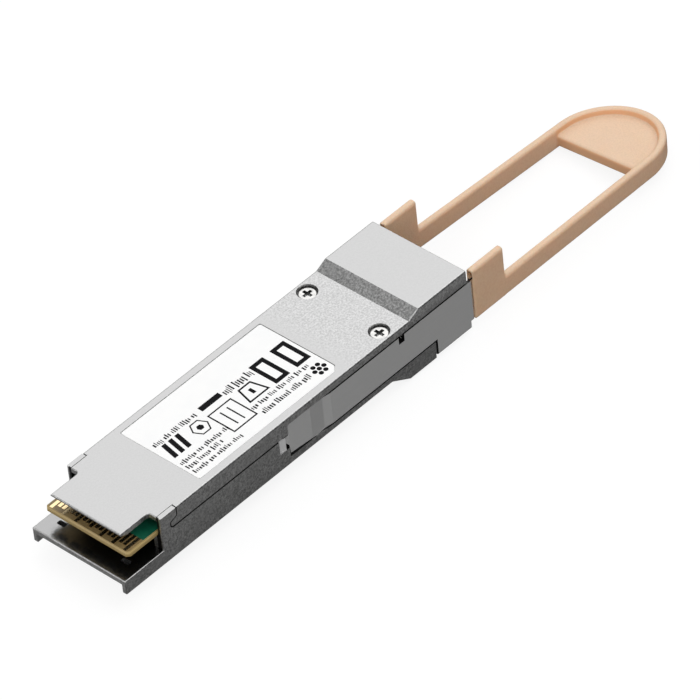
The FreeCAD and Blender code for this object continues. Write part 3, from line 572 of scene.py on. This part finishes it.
def coil_mesh(name, low, high):
    """A compression spring along X that fills the box, with a closed turn at each end."""
    middle = (low + high) / 2
    radius = (high.z - low.z) / 2 - SPRING_WIRE
    closed = 2 * SPRING_WIRE
    start = low.x + SPRING_WIRE
    pitch = (high.x - low.x - 2 * SPRING_WIRE - 2 * closed) / SPRING_TURNS
    verts = []
    rings = (SPRING_TURNS + 2) * TURN_STEPS + 1
    for ring in range(rings):
        turn = ring / TURN_STEPS
        wound = min(max(turn - 1, 0), SPRING_TURNS)
        x = start + closed * (turn - wound) + pitch * wound
        out = Vector((0, math.cos(math.tau * turn), math.sin(math.tau * turn)))
        for side in range(WIRE_SIDES):
            round_wire = math.tau * side / WIRE_SIDES
            reach = radius + SPRING_WIRE * math.cos(round_wire)
            on_axis = Vector((x + SPRING_WIRE * math.sin(round_wire), middle.y, middle.z))
            verts.append(on_axis + reach * out)
    faces = [tuple(range(WIRE_SIDES))]
    for ring in range(rings - 1):
        here = ring * WIRE_SIDES
        for side in range(WIRE_SIDES):
            after = (side + 1) % WIRE_SIDES
            ahead = here + WIRE_SIDES
            faces.append((here + side, ahead + side, ahead + after, here + after))
    last = (rings - 1) * WIRE_SIDES
    faces.append(tuple(last + side for side in reversed(range(WIRE_SIDES))))
    mesh = bpy.data.meshes.new(name)
    mesh.from_pydata(verts, [], faces)
    for face in mesh.polygons[1:-1]:
        face.use_smooth = True
    mesh.update()
    return mesh


def return_springs():
    """Both springs, which the slider's lugs push shut against the far ends of their channels."""
    wire = rolled_steel("spring_steel_looks", (0.5, 0.5, 0.49), 0.25, 0.1)
    for node in ("return_spring_left", "return_spring_right"):
        low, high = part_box(node)
        coil = coil_mesh("v_" + node, low, high)
        piece = new_piece("v_" + node, coil, wire, MODULE)
        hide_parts(node)
        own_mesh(piece)


return_springs()


# ---------------------------------------------------------------- pull tab

def tab_mesh():
    """The tab as a softly rounded moulding with an even skin of small faces."""
    source = bpy.data.objects.new("tab_source", nodes["pull_tab"].data.copy())
    bpy.context.scene.collection.objects.link(source)
    weld = source.modifiers.new("weld", "WELD")
    weld.merge_threshold = 0.001 * MM
    skin = source.modifiers.new("skin", "REMESH")
    skin.mode = "VOXEL"
    skin.voxel_size = TAB_GRAIN
    skin.use_smooth_shade = True
    ease = source.modifiers.new("ease", "SMOOTH")
    ease.factor = 0.5
    ease.iterations = 5
    graph = bpy.context.evaluated_depsgraph_get()
    mesh = bpy.data.meshes.new_from_object(source.evaluated_get(graph))
    bpy.data.objects.remove(source)
    return mesh


def relax_tab(mesh):
    """Both bars droop behind the ears, the left one more, so the loop lies slightly twisted."""
    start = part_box("pull_tab")[0].x + EAR_LENGTH
    for vertex in mesh.vertices:
        along = max(0.0, vertex.co.x - start) / DROOP_REACH
        vertex.co.z -= along * (DROOP + DROOP_TWIST * vertex.co.y)


tab = tab_mesh()
relax_tab(tab)
pull_tab = new_piece("soft_pull_tab", tab, elastomer(), RELEASE)
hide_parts("pull_tab")


# ---------------------------------------------------------------- label print

LABEL_FRONT = 17.55


class Ink:
    """Thin closed ink solids on the label, placed in mm back from the module's front, and across."""

    def __init__(self):
        low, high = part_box("product_label")
        self.front = low.x - LABEL_FRONT * MM
        self.low = high.z - 0.004 * MM
        self.high = high.z + 0.01 * MM
        self.mesh = bmesh.new()

    def corners(self, outline):
        return [
            [self.mesh.verts.new((self.front + x * MM, y * MM, z)) for x, y in outline]
            for z in (self.low, self.high)
        ]

    def patch(self, outline):
        low, high = self.corners(outline)
        self.mesh.faces.new(high)
        self.mesh.faces.new(low[::-1])
        for i in range(len(low)):
            j = (i + 1) % len(low)
            self.mesh.faces.new((low[i], low[j], high[j], high[i]))

    def band(self, outer, inner):
        outer_low, outer_high = self.corners(outer)
        inner_low, inner_high = self.corners(inner)
        for i in range(len(outer)):
            j = (i + 1) % len(outer)
            self.mesh.faces.new((outer_high[i], outer_high[j], inner_high[j], inner_high[i]))
            self.mesh.faces.new((inner_low[i], inner_low[j], outer_low[j], outer_low[i]))
            self.mesh.faces.new((outer_low[i], outer_low[j], outer_high[j], outer_high[i]))
            self.mesh.faces.new((inner_low[j], inner_low[i], inner_high[i], inner_high[j]))

    def bar(self, x0, x1, y0, y1):
        self.patch(((x0, y0), (x1, y0), (x1, y1), (x0, y1)))

    def row(self, x0, x1, y0, y1, rng):
        """A line of print too small to read: blocks of uneven width and height, in short groups."""
        x, left = x0, 0
        while x < x1 - 0.25:
            if left == 0:
                left = rng.randint(3, 8)
                x += 0.3 if x > x0 else 0
            width = min(rng.uniform(0.13, 0.3), x1 - x)
            height = (y1 - y0) * rng.choice((0.62, 0.7, 0.95))
            drop = (y1 - y0) * rng.choice((0.0, 0.0, 0.0, 0.2))
            self.bar(x, x + width, y0 - drop, y0 + height)
            x += width + 0.19
            left -= 1


def around(x, y, radius_x, radius_y, count, turn=0.0):
    angles = [turn + 2 * math.pi * i / count for i in range(count)]
    return [(x + radius_x * math.cos(a), y + radius_y * math.sin(a)) for a in angles]


def frame_box(x0, x1, y0, y1):
    return [(x0, y0), (x1, y0), (x1, y1), (x0, y1)]


def label_print():
    rng = random.Random(7)
    ink = Ink()
    rows = (
        (18.4, 27.1, 1.65, 2.65), (32.6, 38.5, 1.2, 2.65), (32.7, 44.6, -4.05, -3.2),
        (33.1, 43.1, -5.9, -4.8), (18.1, 27.9, -3.9, -3.0), (18.1, 25.6, -5.2, -4.3),
        (18.1, 28.0, -6.55, -5.7),
    )
    for x0, x1, y0, y1 in rows:
        ink.row(x0, x1, y0, y1, rng)
    ink.bar(28.0, 32.2, 1.55, 2.6)
    for i in range(3):
        x = 18.5 + 1.35 * i
        ink.patch(((x, -2.05), (x + 0.8, -2.05), (x + 1.4, 1.25), (x + 0.6, 1.25)))
    ring = (25.4, -0.45)
    ink.band(around(*ring, 1.6, 1.7, 6), around(*ring, 1.35, 1.45, 6))
    ink.patch(around(*ring, 0.6, 0.6, 6))
    ink.band(frame_box(27.6, 32.5, -5.1, 0.35), frame_box(27.85, 32.25, -4.85, 0.1))
    for x in (29.2, 30.6):
        ink.bar(x, x + 0.25, -4.2, -0.6)
    outer = ((33.4, -2.7), (37.6, -2.7), (36.8, 0.6), (34.2, 0.6))
    inner = ((33.8, -2.4), (37.2, -2.4), (36.55, 0.3), (34.45, 0.3))
    ink.band(outer, inner)
    ink.bar(35.2, 35.8, -1.7, -0.5)
    for x in (38.7, 43.1):
        ink.band(
            frame_box(x, x + 2.9, -2.9, 2.65), frame_box(x + 0.75, x + 2.15, -2.15, 1.9)
        )
    centre = (44.8, -5.6)
    for x, y in around(*centre, 0.95, 0.95, 6) + [centre]:
        ink.patch(around(x, y, 0.4, 0.4, 12))
    mesh = bpy.data.meshes.new("label_print")
    ink.mesh.to_mesh(mesh)
    ink.mesh.free()
    return new_piece("label_print", mesh, print_ink(), MODULE)


label_print()


# ---------------------------------------------------------------- camera, floor, light

SENSOR = 36
LENS = 351.76
CAMERA_PLACE = (-0.5104846, -0.5388429, 0.6617292)
CAMERA_RIGHT = (0.6732130520, -0.7346639090, -0.0839829003)
CAMERA_DOWN = (-0.5346852237, -0.4051885810, -0.7415752998)
CAMERA_AHEAD = (0.5107796964, 0.5441425867, -0.6655921778)
FLOOR_RADIUS = 2.4
DOME_RADIUS = 2.41
FLOOR_TINT = 0.17
FLOOR_GLOW = 0.86
# brightness of the studio from straight below to straight above
SKY = ((0, 0.068), (0.3, 0.083), (0.45, 0.10), (0.54, 0.12), (0.64, 0.37), (0.74, 0.93), (1, 1.06))
# soft boxes and dark flags: direction, inner and outer angle in degrees, light added
PATCHES = (
    ((0.51, 0.54, 0.67), 16, 42, 0.5),
    ((-0.75, 0.45, 0.5), 8, 25, 1.2),
    ((0.45, -0.3, 0.85), 10, 28, 0.6),
    ((-0.25, 0.5, 0.83), 10, 36, -0.8),
    ((0.55, -0.74, 0.36), 12, 34, -0.75),
    ((-0.45, -0.8, 0.35), 20, 48, 0.42),
    ((0.19, -0.72, -0.67), 8, 36, 0.13),
    ((-0.51, 0.54, -0.67), 10, 50, 0.2),
)
DARKEST = 0.02


def set_camera():
    data = bpy.data.cameras.new("photo_camera")
    data.sensor_width = SENSOR
    data.lens = LENS
    data.clip_start = 0.05
    data.clip_end = 30
    camera = bpy.data.objects.new("photo_camera", data)
    bpy.context.scene.collection.objects.link(camera)
    turn = Matrix((Vector(CAMERA_RIGHT), -Vector(CAMERA_DOWN), -Vector(CAMERA_AHEAD))).transposed()
    camera.matrix_world = Matrix.Translation(CAMERA_PLACE) @ turn.to_4x4()
    bpy.context.scene.camera = camera


def stage_material(name, tint, glow, see_through_back=False):
    material = bpy.data.materials.new(name)
    material.use_nodes = True
    tree = material.node_tree
    shader = tree.nodes["Principled BSDF"]
    shader.inputs["Base Color"].default_value = (*tint, 1)
    shader.inputs["Roughness"].default_value = 0.9
    shader.inputs["Specular IOR Level"].default_value = 0.0
    shader.inputs["Emission Color"].default_value = (1, 1, 1, 1)
    shader.inputs["Emission Strength"].default_value = glow
    if see_through_back:
        mix = tree.nodes.new("ShaderNodeMixShader")
        clear = tree.nodes.new("ShaderNodeBsdfTransparent")
        tree.links.new(tree.nodes.new("ShaderNodeNewGeometry").outputs["Backfacing"], mix.inputs[0])
        tree.links.new(shader.outputs[0], mix.inputs[1])
        tree.links.new(clear.outputs[0], mix.inputs[2])
        tree.links.new(mix.outputs[0], tree.nodes["Material Output"].inputs["Surface"])
    return material


def stage_piece(name, mesh, material):
    piece = bpy.data.objects.new(name, mesh)
    bpy.context.scene.collection.objects.link(piece)
    mesh.materials.append(material)
    piece.visible_diffuse = False
    piece.visible_glossy = False
    piece.visible_transmission = False
    piece.visible_shadow = False


def set_stage():
    """A round floor under the object, and a dome round both that only the camera sees."""
    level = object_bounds()[0].z
    bm = bmesh.new()
    bmesh.ops.create_circle(bm, cap_ends=True, segments=96, radius=FLOOR_RADIUS)
    bmesh.ops.translate(bm, vec=(0, 0, level), verts=bm.verts)
    mesh = bpy.data.meshes.new("studio_floor")
    bm.to_mesh(mesh)
    bm.free()
    looks = stage_material("studio_floor_looks", grey(FLOOR_TINT), FLOOR_GLOW, True)
    stage_piece("studio_floor", mesh, looks)
    bm = bmesh.new()
    bmesh.ops.create_icosphere(bm, subdivisions=5, radius=DOME_RADIUS)
    mesh = bpy.data.meshes.new("studio_dome")
    bm.to_mesh(mesh)
    bm.free()
    stage_piece("studio_dome", mesh, stage_material("studio_dome_looks", grey(0), 1.0))


def set_world():
    """Studio light: a bright ceiling that fades to a dim floor, with soft boxes and dark flags."""
    world = bpy.data.worlds.new("studio")
    world.use_nodes = True
    bpy.context.scene.world = world
    tree = world.node_tree
    background = tree.nodes["Background"]
    place = tree.nodes.new("ShaderNodeTexCoord").outputs["Generated"]

    def maths(operation, *values):
        node = tree.nodes.new("ShaderNodeMath")
        node.operation = operation
        for socket, value in zip(node.inputs, values):
            if isinstance(value, bpy.types.NodeSocket):
                tree.links.new(value, socket)
            else:
                socket.default_value = value
        return node.outputs[0]

    def lobe(direction, inner, outer, level):
        """A soft round patch of light: full inside the inner angle, gone outside the outer one."""
        dot = tree.nodes.new("ShaderNodeVectorMath")
        dot.operation = "DOT_PRODUCT"
        tree.links.new(place, dot.inputs[0])
        dot.inputs[1].default_value = Vector(direction).normalized()
        spread = tree.nodes.new("ShaderNodeMapRange")
        spread.interpolation_type = "SMOOTHERSTEP"
        tree.links.new(dot.outputs["Value"], spread.inputs[0])
        spread.inputs[1].default_value = math.cos(math.radians(outer))
        spread.inputs[2].default_value = math.cos(math.radians(inner))
        spread.inputs[4].default_value = level
        return spread.outputs[0]

    split = tree.nodes.new("ShaderNodeSeparateXYZ")
    tree.links.new(place, split.inputs[0])
    ramp = tree.nodes.new("ShaderNodeValToRGB")
    tree.links.new(maths("MULTIPLY_ADD", split.outputs["Z"], 0.5, 0.5), ramp.inputs[0])
    ramp.color_ramp.interpolation = "EASE"
    elements = ramp.color_ramp.elements
    while len(elements) < len(SKY):
        elements.new(0.5)
    for element, (position, level) in zip(elements, SKY):
        element.position = position
        element.color = (*grey(level), 1)
    total = ramp.outputs["Color"]
    for direction, inner, outer, strength in PATCHES:
        total = maths("ADD", total, lobe(direction, inner, outer, strength))
    total = maths("MAXIMUM", total, DARKEST)
    tree.links.new(total, background.inputs["Color"])
    background.inputs["Strength"].default_value = 1.0


set_camera()
set_stage()
set_world()
bpy.context.scene.view_settings.view_transform = "Standard"
